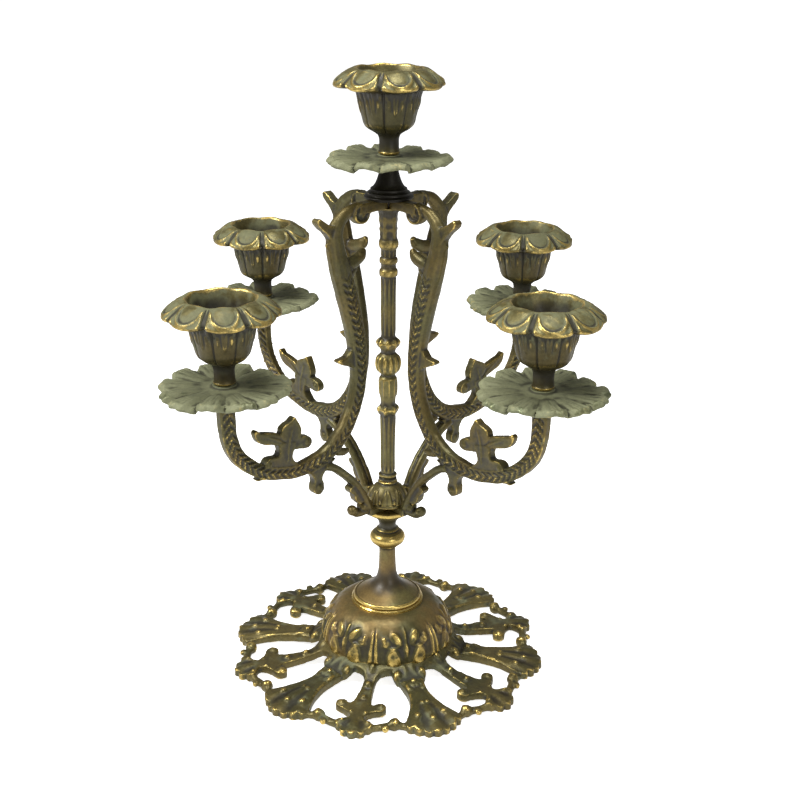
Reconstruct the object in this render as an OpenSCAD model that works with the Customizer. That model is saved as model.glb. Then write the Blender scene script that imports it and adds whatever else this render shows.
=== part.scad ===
// Five-light tabletop candelabra: a pierced cast foot, a stacked stem and column on one
// tie rod, four clamped scroll arms, and a drip pan and candle cup on each of five studs.
// Millimetres, +Z up, origin at the centre of the foot's underside. Arm 1 lies along +X.

/* [Foot] */
// Diameter of the foot over its longest motifs
foot_d = 179; // [165:1:215]
// Largest diameter of the dome
dome_d = 73; // [66:1:88]
// Height of the dome's flat top above the table
dome_h = 36.5; // [31:0.5:44]
// Wall of the cast dome
dome_wall = 3; // [2:0.1:3.6]
// Thickness of the pierced skirt
skirt_t = 4; // [3:0.1:5]
// Pairs of wide and narrow motifs round the skirt
motif_pairs = 6; // [5:1:6]
// Turn of the skirt's pattern from the arms
motif_turn = 4.5; // [0:0.5:30]

/* [Stem] */
// Height of the stem between the foot and the arms' lower tangs
stem_h = 55.5; // [50:0.5:67]
// Diameter of the flange that stands on the foot
flange_d = 38.5; // [34:0.5:40]
// Diameter of the knop
knop_d = 19.7; // [16:0.1:24]
// Diameter of the stem's shaft
shaft_d = 10; // [8.4:0.1:12]
// Diameter of the plate under the arms
plate_d = 25; // [21:0.5:30]

/* [Column] */
// Height between the arms' lower tangs and their upper tangs
column_h = 166; // [150:1:200]
// Height of the bell over the lower tangs
bell_h = 13.5; // [12:0.5:16]
// Diameter of the bell's brim
bell_d = 22; // [18.5:0.5:25]
// Diameter of the slim fluted shaft
fluted_d = 7.5; // [7:0.1:9]
// Diameter of the gadrooned ball halfway up
ball_d = 13.8; // [11.5:0.1:16.5]
// Diameter of the column's head
head_d = 9.8; // [8.5:0.1:11.5]

/* [Cap] */
// Height of the cap between the upper tangs and the top pan
cap_h = 18.1; // [15:0.1:22]
// Diameter of the cap's stepped base
cap_d = 25.5; // [21.5:0.5:30.5]
// Diameter of the neck under each pan
neck_d = 9; // [7.6:0.1:10.8]

/* [Arms] */
// Number of arms
arm_count = 4; // [3:1:4]
// Distance from the column's axis to each arm's cup
arm_reach = 107; // [95:1:130]
// Height of each arm's upper end above the table, where its pan sits
arm_seat_z = 187; // [170:1:200]
// Height of the lowest part of the arm's centre line above the table
arm_run_z = 133.6; // [126:0.5:140]
// Thickness of an arm across its plane
arm_t = 7.6; // [5:0.1:9]
// Diameter of an arm's upper end
arm_end_d = 10; // [8.4:0.1:12]
// Height of the lower tangs
low_tang_h = 3; // [2.5:0.1:3.6]
// Height of the upper tangs
top_tang_h = 4.6; // [3.8:0.1:5.5]
// Thickness of the tangs
tang_t = 5; // [4.2:0.1:6]

/* [Pans and cups] */
// Diameter of a drip pan
pan_d = 64; // [52:1:74]
// Height of a drip pan at its hub
pan_hub_h = 4.4; // [3.8:0.1:5.2]
// Thickness of a drip pan's leaves
pan_t = 2; // [1.6:0.1:2.4]
// Leaves round a drip pan
pan_leaves = 12; // [10:1:14]
// Diameter of the candle that a cup holds
candle_d = 21.8; // [20:0.1:23]
// Depth of the straight candle bore
candle_depth = 11.5; // [9:0.5:14]
// Height of a cup
cup_h = 42.3; // [39:0.1:50]
// Diameter of a cup over its petals
cup_d = 56; // [50:1:66]
// Diameter of a cup's mouth
mouth_d = 31; // [29:0.5:32]
// Petals round a cup's rim
cup_petals = 8; // [6:1:8]

/* [Fasteners and fits] */
// Diameter of the tie rod and the arm studs
rod_d = 4; // [3.4:0.1:4.8]
// Radial clearance where a pan or a cup turns or lifts on its stud
stud_fit = 0.05; // [0.02:0.01:0.1]
// Radial clearance of the tie rod in the castings it ties together
rod_fit = 0.2; // [0.1:0.05:0.3]
// Radial clearance of a candle in its bore
candle_fit = 0.1; // [0.05:0.05:0.3]
// Gap above and below a drip pan
pan_gap = 0.1; // [0.05:0.05:0.3]
// Length of a stud inside its cup
stud_grip = 8; // [6:0.5:9]
// Length of an arm stud inside its arm
stud_root = 12; // [9:0.5:14]
// Width of the nut across its flats
nut_flats = 8; // [7:0.5:10]
// Height of the nut
nut_h = 4; // [3:0.5:5]
// Diameter of the washer
washer_d = 16; // [13:0.5:20]
// Thickness of the washer
washer_t = 1.2; // [1:0.1:1.6]

/* [Hidden] */
$fn = 64;
CUT = 1;

rod_r = rod_d / 2;
rod_bore_r = rod_r + rod_fit;
stud_bore_r = rod_r + stud_fit;
candle_r = candle_d / 2 + candle_fit;

stem_z = dome_h;
low_tang_z = stem_z + stem_h;
bell_z = low_tang_z + low_tang_h;
column_z = bell_z + bell_h;
top_tang_z = bell_z + column_h;
cap_z = top_tang_z + top_tang_h;
top_seat_z = cap_z + cap_h;
dome_ceiling_z = dome_h - dome_wall;

pan_lift = pan_gap;
cup_lift = pan_gap * 2 + pan_hub_h;
stud_top = cup_lift + stud_grip;

arm_angles = [for (i = [0 : arm_count - 1]) 360 / arm_count * i];
ARMS = [for (i = [1 : arm_count]) str(i)];

// A point on a smooth curve through b and c, at t from 0 to 1
function smooth(a, b, c, d, t) =
    0.5 * (2 * b + (c - a) * t + (2 * a - 5 * b + 4 * c - d) * t * t
    + (3 * b - a - 3 * c + d) * t * t * t);

// A smooth curve through every point of p, with n steps between neighbours
function curve(p, n) = let (last = len(p) - 1) concat(
    [for (i = [0 : last - 1], j = [0 : n - 1])
        smooth(p[max(i - 1, 0)], p[i], p[i + 1], p[min(i + 2, last)], j / n)],
    [p[last]]
);

// The outline of a stroke whose stations are [radius, height, width]
function stroke_side(p, side) = [for (i = [0 : len(p) - 1])
    let (
        a = p[max(i - 1, 0)],
        b = p[min(i + 1, len(p) - 1)],
        along = [b[0] - a[0], b[1] - a[1]],
        out = [-along[1], along[0]] / norm(along)
    )
    [p[i][0], p[i][1]] + side * p[i][2] / 2 * out];

module stroke(stations, steps) {
    p = curve(stations, steps);
    left = stroke_side(p, 1);
    right = stroke_side(p, -1);
    count = len(p);
    polygon(concat(left, [for (i = [count - 1 : -1 : 0]) right[i]]));
}

// ---- Foot ----

// Outline of one wide motif: a cuffed spoke that flares into a shell
module wide_motif(tip_r) {
    shell_r = tip_r - 6;
    polygon([
        [dome_d / 2 - 4, -7], [dome_d / 2 + 8, -5.2], [dome_d / 2 + 20, -5.6],
        [shell_r - 8, -9], [shell_r, -13], [shell_r, 13], [shell_r - 8, 9],
        [dome_d / 2 + 20, 5.6], [dome_d / 2 + 8, 5.2], [dome_d / 2 - 4, 7]
    ]);
    for (a = [-2 : 2])
        rotate(a * 4.1) translate([shell_r + 1.6 - abs(a) * 0.9, 0]) circle(r = 4.4);
}

// Outline of one narrow motif: a stem with two side curls and a small shell
module narrow_motif(tip_r) {
    shell_r = tip_r - 6.4;
    curl_r = shell_r - 17;
    polygon([
        [dome_d / 2 - 4, -5.5], [dome_d / 2 + 6, -3.2], [curl_r - 4, -3],
        [curl_r + 5, -5], [shell_r - 6, -3.2], [shell_r, -8],
        [shell_r, 8], [shell_r - 6, 3.2], [curl_r + 5, 5],
        [curl_r - 4, 3], [dome_d / 2 + 6, 3.2], [dome_d / 2 - 4, 5.5]
    ]);
    for (side = [-1, 1]) {
        translate([curl_r, side * 10.2]) circle(r = 3.2);
        translate([curl_r + 0.4, side * 5.2]) square([5.2, 10], center = true);
    }
    for (a = [-1 : 1])
        rotate(a * 4.4) translate([shell_r + 2.4 - abs(a), 0]) circle(r = 4);
}

// Outline of the whole pierced skirt
module skirt_outline() {
    pitch = 360 / motif_pairs;
    tip_r = foot_d / 2;
    for (i = [0 : motif_pairs - 1]) {
        rotate(i * pitch) narrow_motif(tip_r);
        rotate((i + 0.5) * pitch) wide_motif(tip_r);
    }
    for (i = [0 : motif_pairs * 2 - 1])
        rotate((i + 0.5) * pitch / 2) translate([tip_r - 9, 0]) circle(r = 3);
    difference() {
        circle(r = tip_r - 7.5);
        circle(r = tip_r - 11.5);
    }
    circle(r = dome_d / 2 + 3);
}

module foot() {
    tip_r = foot_d / 2;
    root_r = dome_d / 2;
    top_r = flange_d / 2 + 1;
    color([0.42, 0.39, 0.25]) rotate(motif_turn) {
        intersection() {
            rotate_extrude() polygon([
                [root_r - dome_wall, 11.5 - skirt_t], [root_r + 3, 10 - skirt_t],
                [root_r + 8, 7 - skirt_t], [root_r + 15, 6 - skirt_t], [root_r + 24, 0],
                [tip_r, 0], [tip_r, 3.2], [tip_r - 8, 4.8], [tip_r - 17, 5.2],
                [root_r + 24, 5.4], [root_r + 15, 6], [root_r + 8, 7], [root_r + 3, 10],
                [root_r - dome_wall, 11.5]
            ]);
            linear_extrude(height = dome_h) difference() {
                skirt_outline();
                circle(r = root_r - dome_wall + 0.5);
            }
        }
        dome_shell(root_r, top_r);
    }
}

// The dome: a cast shell with a flat top that the stem's flange stands on
module dome_shell(root_r, top_r) {
    rise = dome_h - 12;
    outer = [for (a = [0 : 7.5 : 90])
        [top_r + (root_r - top_r) * cos(a), 12 + (rise - 1.5) * sin(a)]];
    inner = [for (a = [90 : -7.5 : 0])
        [top_r + (root_r - dome_wall - top_r) * cos(a), 12 + (rise - 1.5 - dome_wall) * sin(a)]];
    difference() {
        rotate_extrude() polygon(concat(
            [[0, dome_ceiling_z - 1.5], [0, dome_h], [top_r, dome_h]],
            [for (i = [len(outer) - 1 : -1 : 0]) outer[i]],
            [[root_r - 1, 6], [root_r - dome_wall, 6]],
            [for (i = [len(inner) - 1 : -1 : 0]) inner[i]]
        ));
        translate([0, 0, dome_ceiling_z - 1.5 - CUT])
            cylinder(r = rod_bore_r, h = dome_wall + 1.5 + CUT * 2);
    }
}

// ---- Stem and column ----

module stem() {
    top = stem_h;
    shaft_r = shaft_d / 2;
    color([0.55, 0.44, 0.22]) translate([0, 0, stem_z]) difference() {
        rotate_extrude() polygon(concat(
            [[0, 0], [flange_d / 2 - 0.8, 0], [flange_d / 2, 1], [flange_d / 2 - 0.6, 2.4]],
            [for (a = [0 : 15 : 75])
                [flange_d / 2 - 1.6 - (flange_d / 2 - shaft_r - 2.4) * sin(a), 15 - 12.4 * cos(a)]],
            [[shaft_r, 16], [shaft_r - 0.4, top - 25]],
            [for (a = [-75 : 15 : 75])
                [shaft_r + (knop_d / 2 - shaft_r) * cos(a), top - 18 + 6.2 * sin(a)]],
            [[shaft_r - 0.2, top - 11.5], [shaft_r, top - 8.5], [plate_d / 2 - 2, top - 3],
             [plate_d / 2, top - 1.8], [plate_d / 2, top], [0, top]]
        ));
        translate([0, 0, -CUT]) cylinder(r = rod_bore_r, h = top + CUT * 2);
    }
}

module bell() {
    crown_r = 4.6;
    color([0.45, 0.4, 0.24]) translate([0, 0, bell_z]) difference() {
        rotate_extrude() polygon(concat(
            [[0, 0], [bell_d / 2, 0], [bell_d / 2, 1.2]],
            [for (a = [0 : 15 : 75])
                [crown_r + (bell_d / 2 - 0.8 - crown_r) * cos(a), 1.8 + (bell_h - 2.4) * sin(a)]],
            [[crown_r, bell_h], [0, bell_h]]
        ));
        translate([0, 0, -CUT]) cylinder(r = rod_bore_r, h = bell_h + CUT * 2);
    }
}

module column() {
    h = top_tang_z - column_z;
    ball_z = h * 0.447;
    shaft_r = fluted_d / 2;
    ball_r = ball_d / 2;
    head_r = head_d / 2;
    color([0.43, 0.39, 0.24]) translate([0, 0, column_z]) difference() {
        rotate_extrude() polygon(concat(
            [[0, 0], [shaft_r + 0.3, 0], [shaft_r + 0.2, 1.6], [shaft_r + 0.8, 2.6], [shaft_r, 4.4],
             [shaft_r, 6], [shaft_r + 0.4, ball_z - 28.5], [shaft_r + 1.3, ball_z - 26],
             [shaft_r + 0.2, ball_z - 24], [shaft_r + 0.3, ball_z - 20], [shaft_r + 1.3, ball_z - 17.5],
             [shaft_r + 1.2, ball_z - 8], [shaft_r, ball_z - 7]],
            [for (a = [-60 : 20 : 60])
                [shaft_r + (ball_r - shaft_r) * cos(a), ball_z + 5.2 * sin(a)]],
            [[shaft_r + 0.3, ball_z + 8], [shaft_r + 1.9, ball_z + 11.5], [shaft_r, ball_z + 15],
             [shaft_r, h - 36], [shaft_r + 0.7, h - 34.4], [shaft_r, h - 32.6], [shaft_r, h - 29.6],
             [shaft_r + 1, h - 27.9], [shaft_r, h - 26.2], [shaft_r, h - 20.6],
             [head_r + 0.3, h - 18.6], [head_r - 0.4, h - 16.4], [head_r, h - 3], [head_r + 1.4, h],
             [0, h]]
        ));
        translate([0, 0, -CUT]) cylinder(r = rod_bore_r, h = h + CUT * 2);
    }
}

module cap() {
    base_r = cap_d / 2;
    neck_r = neck_d / 2;
    color([0.2, 0.18, 0.13]) translate([0, 0, cap_z]) difference() {
        rotate_extrude() polygon(concat(
            [[0, 0], [base_r, 0], [base_r, 1.6], [base_r - 1.6, 2.2], [base_r - 1.8, 3.4],
             [base_r - 3.2, 4.0], [base_r - 3.4, 5.2]],
            [for (a = [0 : 15 : 90])
                [base_r - 4.4 - (base_r - 4.4 - neck_r) * sin(a),
                 cap_h - 1.6 - (cap_h - 7.4) * cos(a)]],
            [[neck_r, cap_h], [0, cap_h]]
        ));
        translate([0, 0, -CUT]) cylinder(r = rod_bore_r, h = cap_h + CUT * 2);
    }
}

module tie_rod() {
    bottom = dome_ceiling_z - 1.5 - washer_t - nut_h - 2;
    color([0.35, 0.33, 0.3]) translate([0, 0, bottom])
        cylinder(r = rod_r, h = top_seat_z + stud_top - bottom);
}

module washer() {
    color([0.4, 0.38, 0.35]) translate([0, 0, dome_ceiling_z - 1.5 - washer_t]) difference() {
        cylinder(d = washer_d, h = washer_t);
        translate([0, 0, -CUT]) cylinder(r = rod_bore_r, h = washer_t + CUT * 2);
    }
}

module nut() {
    color([0.4, 0.38, 0.35]) translate([0, 0, dome_ceiling_z - 1.5 - washer_t - nut_h]) difference() {
        cylinder(d = nut_flats / cos(30), h = nut_h, $fn = 6);
        translate([0, 0, -CUT]) cylinder(r = rod_r, h = nut_h + CUT * 2);
    }
}

// ---- Arms ----

// Height of a point on the upright, as a share of the way from the run to the upper tang
function up_z(share) = arm_run_z + share * (top_tang_z + top_tang_h / 2 - arm_run_z);
// Radius of a point on the run, as a share of the way out to the cup
function out_r(share) = 45 + share * (arm_reach - 45);
// Height of a point on the riser, as a share of the way up to the seat
function rise_z(share) = arm_run_z + share * (arm_seat_z - arm_run_z);

// The main scroll of an arm, from the upper tang to the seat under its pan
function scroll_stations() = [
    [10, up_z(1), top_tang_h], [cap_d / 2 + 1.2, up_z(1), top_tang_h],
    [20, up_z(1.006), top_tang_h], [26, up_z(1), 5],
    [33, up_z(0.97), 7], [37, up_z(0.915), 9], [36, up_z(0.85), 11], [33, up_z(0.765), 12.5],
    [29.5, up_z(0.675), 12.5], [26.3, up_z(0.58), 12], [23.5, up_z(0.49), 11],
    [21.8, up_z(0.395), 10], [21.8, up_z(0.305), 9], [24, up_z(0.22), 9],
    [28.5, up_z(0.14), 9], [35.5, up_z(0.07), 9.5], [45, up_z(0.02), 9.5],
    [out_r(0.18), arm_run_z + 0.4, 8.5], [out_r(0.33), arm_run_z, 7.5],
    [out_r(0.48), rise_z(0.03), 7], [out_r(0.64), rise_z(0.09), 7],
    [out_r(0.8), rise_z(0.21), 7.3], [out_r(0.92), rise_z(0.36), 7.8],
    [out_r(0.98), rise_z(0.52), 8.4], [arm_reach, rise_z(0.7), 8.8], [arm_reach, rise_z(0.85), 9.4]
];

// Height of a point on the strut, as a share of the way from the lower tang up to the run
function strut_z(share) = low_tang_z + share * (arm_run_z - low_tang_z);

// The strut from the run down to the lower tang
function strut_stations() = [
    [47, strut_z(0.95), 6], [36, strut_z(0.78), 5], [26, strut_z(0.57), 5],
    [18.5, strut_z(0.29), 5], [15.5, strut_z(0.1), 5.4], [15.5, strut_z(0.01), 6]
];

// Small cast ornaments: scrolls, nubs, leaf tips and the sprig over the run
module arm_ornaments() {
    translate([20.6, up_z(0.978)]) circle(r = 5.2);
    stroke([[36, up_z(0.93), 8], [43, up_z(0.955), 6], [49.5, up_z(0.98), 4.4]], 3);
    stroke([[34, up_z(0.8), 8], [26, up_z(0.79), 6], [17.8, up_z(0.828), 3.6]], 4);
    stroke([[24, up_z(0.36), 9], [32, up_z(0.38), 7], [38.5, up_z(0.4), 3]], 4);
    stroke([[70, arm_run_z + 1, 9], [71.6, arm_run_z + 10, 7], [70, arm_run_z + 17, 8],
            [68.4, arm_run_z + 22, 10.5], [66.2, arm_run_z + 29, 4]], 4);
    stroke([[69, arm_run_z + 17, 6], [78, arm_run_z + 22, 6.4], [89, arm_run_z + 26.6, 3]], 4);
    stroke([[70, arm_run_z + 16, 5], [63, arm_run_z + 15, 6.4], [58, arm_run_z + 14.4, 6]], 4);
    translate([81.6, arm_run_z + 7]) circle(r = 4.8);
    stroke([[47, arm_run_z - 1, 7], [51, arm_run_z - 10, 5], [52.5, arm_run_z - 17, 5]], 4);
    translate([22.5, low_tang_z + 5]) circle(r = 4);
}

module arm(angle) {
    color([0.4, 0.36, 0.2]) rotate(angle) difference() {
        union() {
            translate([0, arm_t / 2, 0]) rotate([90, 0, 0]) linear_extrude(height = arm_t) {
                stroke(scroll_stations(), 5);
                translate([15.5, low_tang_z]) square([4, low_tang_h + 4]);
            }
            translate([0, tang_t / 2, 0]) rotate([90, 0, 0]) linear_extrude(height = tang_t) {
                stroke(strut_stations(), 5);
                arm_ornaments();
                translate([3.6, top_tang_z]) square([14, top_tang_h]);
                translate([3.6, low_tang_z]) square([14, low_tang_h]);
            }
            translate([arm_reach, 0, rise_z(0.72)])
                cylinder(d = arm_end_d, h = arm_seat_z - rise_z(0.72));
        }
        translate([arm_reach, 0, arm_seat_z - stud_root]) cylinder(r = rod_r, h = stud_root + CUT);
    }
}

module arm_stud(angle) {
    color([0.35, 0.33, 0.3]) rotate(angle) translate([arm_reach, 0, arm_seat_z - stud_root])
        cylinder(r = rod_r, h = stud_root + stud_top);
}

// ---- Drip pans and candle cups, in the frame of the seat that they stand on ----

module drip_pan() {
    pan_r = pan_d / 2;
    hub_r = neck_d / 2 + 1.5;
    tip_r = pan_r * sin(180 / pan_leaves);
    color([0.38, 0.42, 0.31]) translate([0, 0, pan_lift]) difference() {
        union() {
            intersection() {
                rotate_extrude() polygon([
                    [0, 0], [hub_r, 0], [pan_r * 0.55, 1.2], [pan_r - 4, 1], [pan_r, -0.4],
                    [pan_r, pan_t - 0.8], [pan_r - 4, pan_t + 1], [pan_r * 0.55, pan_t + 1.2],
                    [hub_r, pan_t + 0.6], [0, pan_t + 0.6]
                ]);
                translate([0, 0, -CUT]) linear_extrude(height = pan_hub_h + CUT * 2) {
                    circle(r = pan_r - tip_r * 1.4);
                    for (i = [0 : pan_leaves - 1])
                        rotate(i * 360 / pan_leaves) translate([pan_r - tip_r, 0]) circle(r = tip_r);
                }
            }
            cylinder(r = hub_r, h = pan_hub_h);
        }
        translate([0, 0, -CUT]) cylinder(r = stud_bore_r, h = pan_hub_h + CUT * 2);
    }
}

module candle_cup() {
    floor_z = 15;
    rim_z = cup_h - 10.5;
    tip_z = cup_h - 7.4;
    rim_r = cup_d / 2;
    mouth_r = mouth_d / 2;
    petal_r = rim_r * sin(180 / cup_petals) * 1.04;
    waist_r = candle_r + 1.6;
    bore_top = floor_z + candle_depth;
    color([0.5, 0.44, 0.26]) translate([0, 0, cup_lift]) difference() {
        union() {
            rotate_extrude() polygon([
                [0, 0], [5.5, 0], [5.5, 1.2], [5.1, 2.2], [5.1, 7.2], [5.6, 9], [7.8, 11.2],
                [waist_r - 1.3, 13.4], [waist_r - 0.2, 15], [waist_r + 0.4, 17],
                [waist_r + 1.4, 21], [waist_r + 2.5, 26], [mouth_r + 0.8, rim_z],
                [mouth_r + 1.4, rim_z + 4], [mouth_r + 2, cup_h], [0, cup_h]
            ]);
            intersection() {
                rotate_extrude() polygon([
                    [0, rim_z], [mouth_r + 0.8, rim_z], [rim_r - 3, tip_z - 1.9],
                    [rim_r - 0.6, tip_z - 1.1], [rim_r, tip_z], [rim_r - 0.8, tip_z + 1.2],
                    [mouth_r + 7, cup_h - 3.1], [mouth_r + 3, cup_h - 0.5], [mouth_r + 2, cup_h],
                    [0, cup_h]
                ]);
                translate([0, 0, rim_z - CUT]) linear_extrude(height = cup_h - rim_z + CUT * 2) {
                    circle(r = rim_r - petal_r * 0.5);
                    for (i = [0 : cup_petals - 1])
                        rotate(i * 360 / cup_petals) translate([rim_r - petal_r, 0]) circle(r = petal_r);
                }
            }
        }
        translate([0, 0, -CUT]) cylinder(r = stud_bore_r, h = stud_grip + 1 + CUT);
        translate([0, 0, floor_z]) cylinder(r = candle_r, h = candle_depth + CUT);
        translate([0, 0, bore_top])
            cylinder(r1 = candle_r, r2 = mouth_r, h = cup_h - bore_top + 0.01);
    }
}

module on_arm(angle) {
    rotate(angle) translate([arm_reach, 0, arm_seat_z]) children();
}

foot();
stem();
bell();
column();
cap();
tie_rod();
washer();
nut();
for (i = [0 : arm_count - 1]) {
    arm(arm_angles[i]);
    arm_stud(arm_angles[i]);
    on_arm(arm_angles[i]) drip_pan();
    on_arm(arm_angles[i]) candle_cup();
}
translate([0, 0, top_seat_z]) drip_pan();  // drip_pan_top
translate([0, 0, top_seat_z]) candle_cup();  // candle_cup_top
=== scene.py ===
import math

import bpy
import numpy as np
from mathutils import Matrix, Vector


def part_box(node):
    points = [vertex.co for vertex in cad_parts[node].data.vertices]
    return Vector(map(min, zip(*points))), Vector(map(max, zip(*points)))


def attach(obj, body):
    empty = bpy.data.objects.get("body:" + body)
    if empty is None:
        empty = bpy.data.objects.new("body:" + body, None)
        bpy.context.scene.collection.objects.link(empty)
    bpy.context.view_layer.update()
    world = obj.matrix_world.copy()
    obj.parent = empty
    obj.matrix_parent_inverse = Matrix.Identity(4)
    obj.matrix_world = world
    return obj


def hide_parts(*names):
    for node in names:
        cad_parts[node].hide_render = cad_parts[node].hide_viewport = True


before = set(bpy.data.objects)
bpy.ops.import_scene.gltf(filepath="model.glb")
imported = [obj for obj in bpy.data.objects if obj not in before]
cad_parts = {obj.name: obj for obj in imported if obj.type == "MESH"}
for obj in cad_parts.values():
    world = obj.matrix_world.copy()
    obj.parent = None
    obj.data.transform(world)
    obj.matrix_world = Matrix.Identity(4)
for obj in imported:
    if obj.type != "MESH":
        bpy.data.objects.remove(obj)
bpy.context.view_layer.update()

# Five-light cast brass candelabra. Lengths inside the modelling functions are in
# millimetres, as on a maker's drawing, and MM turns them into the frame's metres.
MM = 0.001
TURN = math.tau
ARMS = ("1", "2", "3", "4")
SEATS = ARMS + ("top",)
CUP_PETALS = 8
CUP_TURNS = {"1": 2, "2": 17, "3": 31, "4": 12, "top": 13.6}
PAN_LEAVES = 12
PAN_TURNS = {"1": 4, "2": 19, "3": 11, "4": 24, "top": 8}
MOTIF_PITCH = 60
ROD_BORE, STUD_BORE = 2.2, 2.05  # radii of the holes for the tie rod and for the studs
PAN_SEAT = 4.6  # from the seat under a pan up to the seat of its cup
RUN_Z = 133.6  # height of the lowest part of an arm's centre line
MOTIF_TURN = 4.5


def low(node):
    return Vector(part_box(node)[0]) / MM


def high(node):
    return Vector(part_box(node)[1]) / MM


def middle(node):
    return (low(node) + high(node)) / 2


# ---- Bench tools ----

def clear_bench():
    if bpy.context.mode != "OBJECT":
        bpy.ops.object.mode_set(mode="OBJECT")
    bpy.ops.object.select_all(action="DESELECT")


def pick(*pieces):
    clear_bench()
    for piece in pieces:
        piece.select_set(True)
    bpy.context.view_layer.objects.active = pieces[0]


def settle(piece):
    """Leaves a piece's object at the origin, with its place in its mesh."""
    pick(piece)
    bpy.ops.object.transform_apply(location=True, rotation=True, scale=True)
    return piece


def joined(name, pieces):
    pick(*pieces)
    if len(pieces) > 1:
        bpy.ops.object.join()
    piece = bpy.context.object
    piece.name = piece.data.name = name
    return piece


def copied(piece, name, turn=0, seat=(0, 0, 0)):
    """A copy with a mesh of its own, turned about Z by turn degrees and set on seat."""
    pick(piece)
    bpy.ops.object.duplicate()
    copy = bpy.context.object
    copy.name = copy.data.name = name
    copy.rotation_euler = (0, 0, math.radians(turn))
    copy.location = Vector(seat) * MM
    return settle(copy)


def rounded(points, steps):
    """A smooth line through every point, with steps pieces between neighbours."""
    points = [Vector(p) for p in points]
    line = []
    for i in range(len(points) - 1):
        a, b, c, d = (points[min(max(j, 0), len(points) - 1)] for j in (i - 1, i, i + 1, i + 2))
        for k in range(steps):
            t = k / steps
            line.append(0.5 * (2 * b + (c - a) * t + (2 * a - 5 * b + 4 * c - d) * t * t
                               + (3 * b - a - 3 * c + d) * t ** 3))
    return [tuple(p) for p in line + [points[-1]]]


def turned(name, outline, steps, sharp=35):
    """A turned piece: its outline is drawn point by point and spun round the Z axis."""
    clear_bench()
    bpy.ops.mesh.primitive_plane_add(size=MM, location=(0, 0, 0))
    bpy.ops.object.mode_set(mode="EDIT")
    bpy.ops.mesh.merge(type="CENTER")
    here = outline[0]
    bpy.ops.transform.translate(value=(here[0] * MM, 0, here[1] * MM))
    for r, z in outline[1:]:
        bpy.ops.mesh.extrude_region_move(
            TRANSFORM_OT_translate={"value": ((r - here[0]) * MM, 0, (z - here[1]) * MM)})
        here = (r, z)
    bpy.ops.mesh.select_all(action="SELECT")
    bpy.ops.mesh.spin(steps=steps, angle=TURN, center=(0, 0, 0), axis=(0, 0, 1))
    bpy.ops.mesh.select_all(action="SELECT")
    bpy.ops.mesh.remove_doubles(threshold=0.01 * MM)
    bpy.ops.mesh.normals_make_consistent(inside=False)
    bpy.ops.object.mode_set(mode="OBJECT")
    piece = bpy.context.object
    piece.name = piece.data.name = name
    bpy.ops.object.shade_smooth_by_angle(angle=math.radians(sharp))
    return piece


def drawn(points, between=5, across=1.0, sides=3):
    """A rod drawn through points (x, y, z, radius); across is its thickness along Y as a share."""
    clear_bench()
    bpy.ops.curve.primitive_bezier_curve_add(location=(0, 0, 0))
    path = bpy.context.object
    line = path.data.splines[0]
    line.bezier_points.add(len(points) - 2)
    for knot, (x, y, z, radius) in zip(line.bezier_points, points):
        knot.co = (x * MM, y * MM / across, z * MM)
        knot.radius = radius * MM
        knot.handle_left_type = knot.handle_right_type = "AUTO"
    path.data.bevel_depth = 1
    path.data.bevel_resolution = sides
    path.data.resolution_u = between
    path.data.use_fill_caps = True
    bpy.ops.object.convert(target="MESH")
    piece = bpy.context.object
    piece.scale = (1, across, 1)
    return settle(piece)


def ball(x, y, z, size, squash=(1, 1, 1)):
    clear_bench()
    bpy.ops.mesh.primitive_uv_sphere_add(segments=20, ring_count=12, radius=size * MM,
                                         location=(x * MM, y * MM, z * MM), scale=squash)
    return settle(bpy.context.object)


def mirrored(half):
    """An outline that is the same on both sides of its long axis."""
    return half + [(x, -y) for x, y in half[::-1] if abs(y) > 0.01]


def plate(outline, top, bottom, upright=False):
    """A plate sawn to an outline, lying flat or standing upright in the plane Y = 0."""
    clear_bench()
    bpy.ops.mesh.primitive_plane_add(size=MM, location=(0, 0, 0))
    bpy.ops.object.mode_set(mode="EDIT")
    bpy.ops.mesh.merge(type="CENTER")
    here = outline[0]
    bpy.ops.transform.translate(value=(here[0] * MM, here[1] * MM, bottom * MM))
    for x, y in outline[1:] + outline[:1]:
        bpy.ops.mesh.extrude_region_move(
            TRANSFORM_OT_translate={"value": ((x - here[0]) * MM, (y - here[1]) * MM, 0)})
        here = (x, y)
    bpy.ops.mesh.select_all(action="SELECT")
    bpy.ops.mesh.remove_doubles(threshold=0.01 * MM)
    bpy.ops.mesh.edge_face_add()
    bpy.ops.mesh.extrude_region_move(TRANSFORM_OT_translate={"value": (0, 0, (top - bottom) * MM)})
    bpy.ops.mesh.select_all(action="SELECT")
    bpy.ops.mesh.normals_make_consistent(inside=False)
    bpy.ops.object.mode_set(mode="OBJECT")
    piece = bpy.context.object
    if upright:
        piece.rotation_euler = (math.radians(90), 0, 0)
    return settle(piece)


def fused(piece, grain, rounds=2, strength=0.5):
    """Melts overlapping parts into one cast skin with cells of the given size."""
    pick(piece)
    melt = piece.modifiers.new("melt", "REMESH")
    melt.mode = "VOXEL"
    melt.voxel_size = grain * MM
    bpy.ops.object.modifier_apply(modifier=melt.name)
    rub = piece.modifiers.new("rub", "SMOOTH")
    rub.factor = strength
    rub.iterations = rounds
    bpy.ops.object.modifier_apply(modifier=rub.name)
    bpy.ops.object.shade_smooth()
    return piece


def surface_of(piece):
    """Places in millimetres and normals of a piece's points, as two tables of X, Y, Z."""
    count = len(piece.data.vertices)
    place, facing = np.empty(count * 3), np.empty(count * 3)
    piece.data.vertices.foreach_get("co", place)
    piece.data.vertices.foreach_get("normal", facing)
    return place.reshape(-1, 3) / MM, facing.reshape(-1, 3)


def put_back(piece, place):
    piece.data.vertices.foreach_set("co", (place * MM).ravel())
    piece.data.update()


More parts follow.
